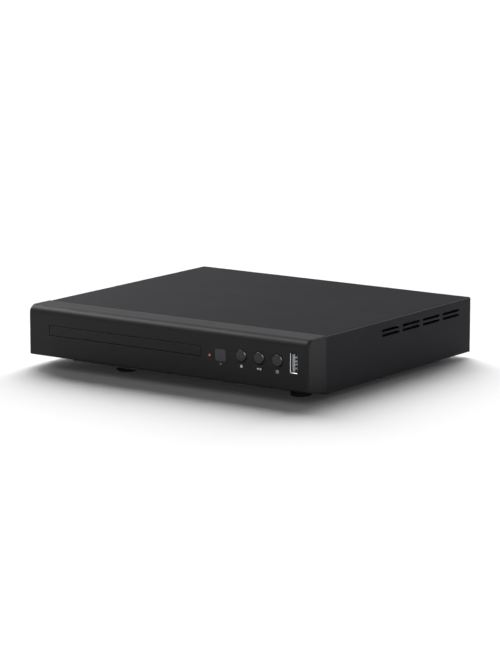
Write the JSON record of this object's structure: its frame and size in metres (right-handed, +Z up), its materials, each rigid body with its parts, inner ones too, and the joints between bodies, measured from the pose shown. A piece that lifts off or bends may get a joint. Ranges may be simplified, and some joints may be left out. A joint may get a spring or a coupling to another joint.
{
  "type": "dvd player",
  "caption": "Compact black disc player: low sheet-metal case, front fascia with disc tray door, round push buttons, data socket, working tray drive and disc deck inside.",
  "frame": {"origin": "on the table under the middle of the bounding box", "axes": "+X to the right along the front, +Y from the front to the rear, +Z up"},
  "size_m": [0.225, 0.2038, 0.0413],
  "materials": {
    "cover_paint": "satin black powder coat",
    "chassis_zinc": "zinc-plated sheet steel",
    "fascia_black": "polished black moulding",
    "foot_rubber": "matt",
    "screw_steel": "zinc plated",
    "window_smoke": "smoked",
    "lens_red": "tinted clear",
    "button_black": "polished",
    "socket_steel": "nickel plated",
    "contact_plastic": "moulded",
    "board_green": "solder resist",
    "switch_plastic": "moulded",
    "tray_black": "fine texture",
    "loader_black": "moulded",
    "gear_white": "acetal",
    "belt_rubber": "matt",
    "motor_steel": "plated can",
    "magnet_grey": "plated",
    "deck_steel": "pressed steel",
    "rod_chrome": "ground",
    "pickup_alloy": "die cast",
    "lens_clear": "coated",
    "chip_black": "moulded",
    "ribbon_white": "flat",
    "tape_yellow": "tape",
    "can_sleeve": "shrunk sleeve",
    "sink_aluminium": "extruded",
    "jack_colour": "moulded ring"
  },
  "bodies": {
    "case": {"chassis_pan": "chassis_zinc", "top_cover": "cover_paint", "front_fascia": "fascia_black", "foot_front_left": "foot_rubber", "foot_front_right": "foot_rubber", "foot_rear_left": "foot_rubber", "foot_rear_right": "foot_rubber", "cover_screws": "screw_steel", "loader_screws": "screw_steel", "board_screws": "screw_steel", "ir_window": "window_smoke", "led_lens": "lens_red", "port_shell": "socket_steel", "port_tongue": "contact_plastic", "front_board": "board_green", "tact_switches": "switch_plastic", "ir_receiver": "chip_black", "standby_led": "lens_red", "loader_frame": "loader_black", "clamp_bridge": "deck_steel", "loading_motor": "motor_steel", "loading_belt": "belt_rubber", "front_ribbon": "ribbon_white", "main_board": "board_green", "board_chips": "chip_black", "power_board": "board_green", "transformer": "tape_yellow", "bulk_capacitor": "can_sleeve", "heat_sink": "sink_aluminium", "mains_inlet": "contact_plastic", "inlet_pins": "socket_steel", "digital_socket": "socket_steel", "phono_block": "contact_plastic", "phono_barrels": "socket_steel", "phono_rings": "jack_colour"},
    "tray": {"disc_tray": "tray_black", "tray_door": "fascia_black"},
    "drive": {"drive_gear": "gear_white"},
    "pulley": {"pulley_gear": "gear_white"},
    "motor_shaft": {"motor_pulley": "gear_white"},
    "deck": {"lift_frame": "loader_black", "traverse_plate": "deck_steel", "deck_dampers": "belt_rubber", "spindle_motor": "motor_steel", "guide_rods": "rod_chrome", "feed_motor": "motor_steel"},
    "cam": {"cam_slider": "gear_white"},
    "platter": {"turntable": "loader_black", "turntable_mat": "belt_rubber"},
    "puck": {"clamper": "gear_white", "clamper_magnet": "magnet_grey"},
    "pickup": {"optical_pickup": "pickup_alloy", "pickup_lens": "lens_clear"},
    "screw": {"feed_screw": "rod_chrome"},
    "eject": {"eject_button": "button_black"},
    "play": {"play_button": "button_black"},
    "standby": {"standby_button": "button_black"},
    "eject_switch": {"eject_plunger": "switch_plastic"},
    "play_switch": {"play_plunger": "switch_plastic"},
    "standby_switch": {"standby_plunger": "switch_plastic"}
  },
  "joints": [
    {"name": "tray_slide", "type": "slide", "parent": "case", "child": "tray", "axis": [0, -1, 0], "range_m": [0, 0.13]},
    {"name": "drive_gear_spin", "type": "hinge", "parent": "case", "child": "drive", "pos_m": [0.01615, -0.06705, 0.02], "axis": [0, 0, 1], "range_deg": [-1432.5, 0]},
    {"name": "pulley_gear_spin", "type": "hinge", "parent": "case", "child": "pulley", "pos_m": [0.00125, -0.07005, 0.018], "axis": [0, 0, 1], "range_deg": [0, 3103.6]},
    {"name": "motor_pulley_spin", "type": "hinge", "parent": "case", "child": "motor_shaft", "pos_m": [-0.03765, -0.07005, 0.014], "axis": [0, 0, 1], "range_deg": [0, 8136.4]},
    {"name": "deck_tilt", "type": "hinge", "parent": "case", "child": "deck", "pos_m": [-0.03265, 0.04895, 0.0152], "axis": [1, 0, 0], "range_deg": [0, 3.1]},
    {"name": "cam_slide", "type": "slide", "parent": "case", "child": "cam", "axis": [-1, 0, 0], "range_m": [0, 0.016]},
    {"name": "turntable_spin", "type": "hinge", "parent": "deck", "child": "platter", "pos_m": [-0.03265, -0.03455, 0.026], "axis": [0, 0, 1], "continuous": true},
    {"name": "clamper_spin", "type": "hinge", "parent": "case", "child": "puck", "pos_m": [-0.03265, -0.03455, 0.033], "axis": [0, 0, 1], "continuous": true},
    {"name": "pickup_slide", "type": "slide", "parent": "deck", "child": "pickup", "axis": [0, 1, 0], "range_m": [0, 0.034]},
    {"name": "feed_screw_spin", "type": "hinge", "parent": "deck", "child": "screw", "pos_m": [-0.00565, -0.03455, 0.0155], "axis": [0, 1, 0], "range_deg": [-4080.1, 0]},
    {"name": "eject_press", "type": "slide", "parent": "case", "child": "eject", "axis": [0, 1, 0], "range_m": [0, 0.00055], "stiffness_N_per_m": 400, "springref_m": -0.0005},
    {"name": "eject_switch_press", "type": "slide", "parent": "case", "child": "eject_switch", "axis": [0, 1, 0], "range_m": [0, 0.00027]},
    {"name": "play_press", "type": "slide", "parent": "case", "child": "play", "axis": [0, 1, 0], "range_m": [0, 0.00055], "stiffness_N_per_m": 400, "springref_m": -0.0005},
    {"name": "play_switch_press", "type": "slide", "parent": "case", "child": "play_switch", "axis": [0, 1, 0], "range_m": [0, 0.00027]},
    {"name": "standby_press", "type": "slide", "parent": "case", "child": "standby", "axis": [0, 1, 0], "range_m": [0, 0.00055], "stiffness_N_per_m": 400, "springref_m": -0.0005},
    {"name": "standby_switch_press", "type": "slide", "parent": "case", "child": "standby_switch", "axis": [0, 1, 0], "range_m": [0, 0.00027]}
  ],
  "couplings": [
    {"joint": "drive_gear_spin", "follows": "tray_slide", "rad_per_m": -192.31},
    {"joint": "pulley_gear_spin", "follows": "tray_slide", "rad_per_m": 416.67},
    {"joint": "motor_pulley_spin", "follows": "tray_slide", "rad_per_m": 1092.3},
    {"joint": "cam_slide", "follows": "deck_tilt", "m_per_rad": 0.29572},
    {"joint": "clamper_spin", "follows": "turntable_spin", "ratio": 1},
    {"joint": "feed_screw_spin", "follows": "pickup_slide", "rad_per_m": -2094.4},
    {"joint": "eject_switch_press", "follows": "eject_press", "ratio": 0.4909},
    {"joint": "play_switch_press", "follows": "play_press", "ratio": 0.4909},
    {"joint": "standby_switch_press", "follows": "standby_press", "ratio": 0.4909}
  ]
}
